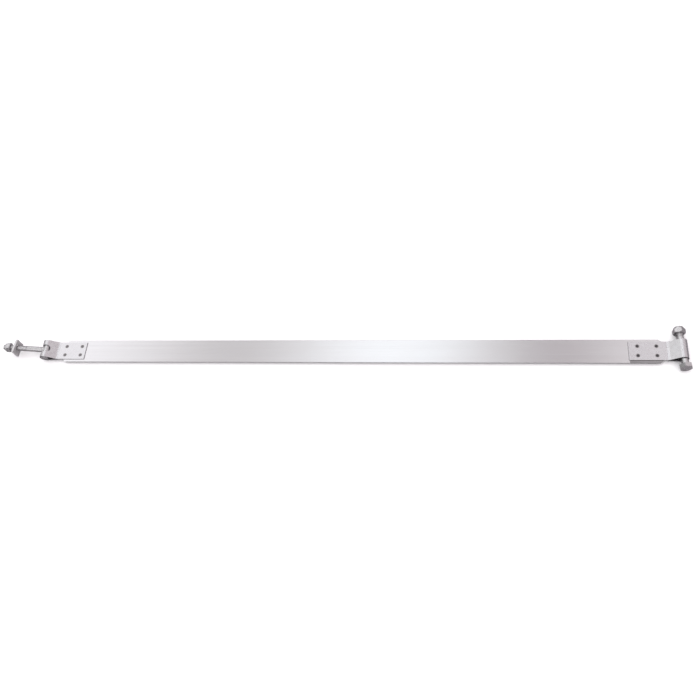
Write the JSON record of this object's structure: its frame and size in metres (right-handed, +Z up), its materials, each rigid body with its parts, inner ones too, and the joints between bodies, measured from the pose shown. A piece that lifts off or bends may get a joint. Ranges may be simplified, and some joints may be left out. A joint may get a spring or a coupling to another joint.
{
  "type": "tank clamping strap",
  "caption": "Long flat stainless band with a spot-welded bracket at each end: a notched eye holding a T-bolt with load plate and lock nut, and a plain eye on a hinge bolt.",
  "frame": {"origin": "middle of the band's underside, the face that bears on the tank", "axes": "+X along the band to the hinge-bolt end, +Y across the band to the hinge nut, +Z up, away from the tank"},
  "size_m": [1.2436, 0.0784, 0.0291],
  "materials": {
    "strap_steel": "cold-rolled stainless strip, grain along the band, satin",
    "bracket_steel": "folded stainless sheet, satin with faint handling marks",
    "weld_steel": "dark heat-tinted weld spots, matt",
    "fastener_steel": "bright cold-formed stainless fasteners, semi-gloss",
    "plate_steel": "sheared stainless flat, satin",
    "insert_nylon": "pale natural nylon ring"
  },
  "bodies": {
    "strap": {"strap_band": "strap_steel", "left_bracket": "bracket_steel", "right_bracket": "bracket_steel", "left_spot_weld_1": "weld_steel", "left_spot_weld_2": "weld_steel", "left_spot_weld_3": "weld_steel", "left_spot_weld_4": "weld_steel", "right_spot_weld_1": "weld_steel", "right_spot_weld_2": "weld_steel", "right_spot_weld_3": "weld_steel", "right_spot_weld_4": "weld_steel", "left_closing_weld": "weld_steel", "right_closing_weld": "weld_steel"},
    "t_bolt": {"trunnion_bar": "fastener_steel", "tension_stud": "fastener_steel"},
    "tension_nut_carrier": {"tension_nut_insert": "insert_nylon"},
    "tension_nut": {"tension_nut": "fastener_steel"},
    "load_plate": {"load_plate": "plate_steel"},
    "hinge_bolt": {"hinge_bolt": "fastener_steel"},
    "hinge_nut_carrier": {"hinge_nut_insert": "insert_nylon"},
    "hinge_nut": {"hinge_nut": "fastener_steel"}
  },
  "joints": [
    {"name": "t_bolt_swing", "type": "hinge", "parent": "strap", "child": "t_bolt", "pos_m": [-0.576, 0, 0.006], "axis": [0, 1, 0], "range_deg": [-96, 93]},
    {"name": "tension_nut_travel", "type": "slide", "parent": "t_bolt", "child": "tension_nut_carrier", "axis": [0.9914, 0, -0.1305], "range_m": [-0.003, 0.025]},
    {"name": "tension_nut_turn", "type": "hinge", "parent": "tension_nut_carrier", "child": "tension_nut", "pos_m": [-0.64937, 0, 0.01566], "axis": [0.9914, 0, -0.1305], "range_deg": [-719.5, 5999.5]},
    {"name": "load_plate_slide", "type": "slide", "parent": "tension_nut_carrier", "child": "load_plate", "axis": [0.9914, 0, -0.1305], "range_m": [-0.006, 0.015]},
    {"name": "hinge_bolt_turn", "type": "hinge", "parent": "strap", "child": "hinge_bolt", "pos_m": [0.572, 0, 0.006], "axis": [-0.061, 0.9981, 0], "continuous": true},
    {"name": "hinge_nut_travel", "type": "slide", "parent": "hinge_bolt", "child": "hinge_nut_carrier", "axis": [0.061, -0.9981, 0], "range_m": [-0.01, 0.012]},
    {"name": "hinge_nut_turn", "type": "hinge", "parent": "hinge_nut_carrier", "child": "hinge_nut", "pos_m": [0.5698, 0.03593, 0.006], "axis": [0.061, -0.9981, 0], "range_deg": [-2056.7, 2468.2]}
  ],
  "couplings": [
    {"joint": "tension_nut_travel", "follows": "tension_nut_turn", "m_per_rad": 0.00023873},
    {"joint": "hinge_nut_travel", "follows": "hinge_nut_turn", "m_per_rad": 0.00027852}
  ]
}
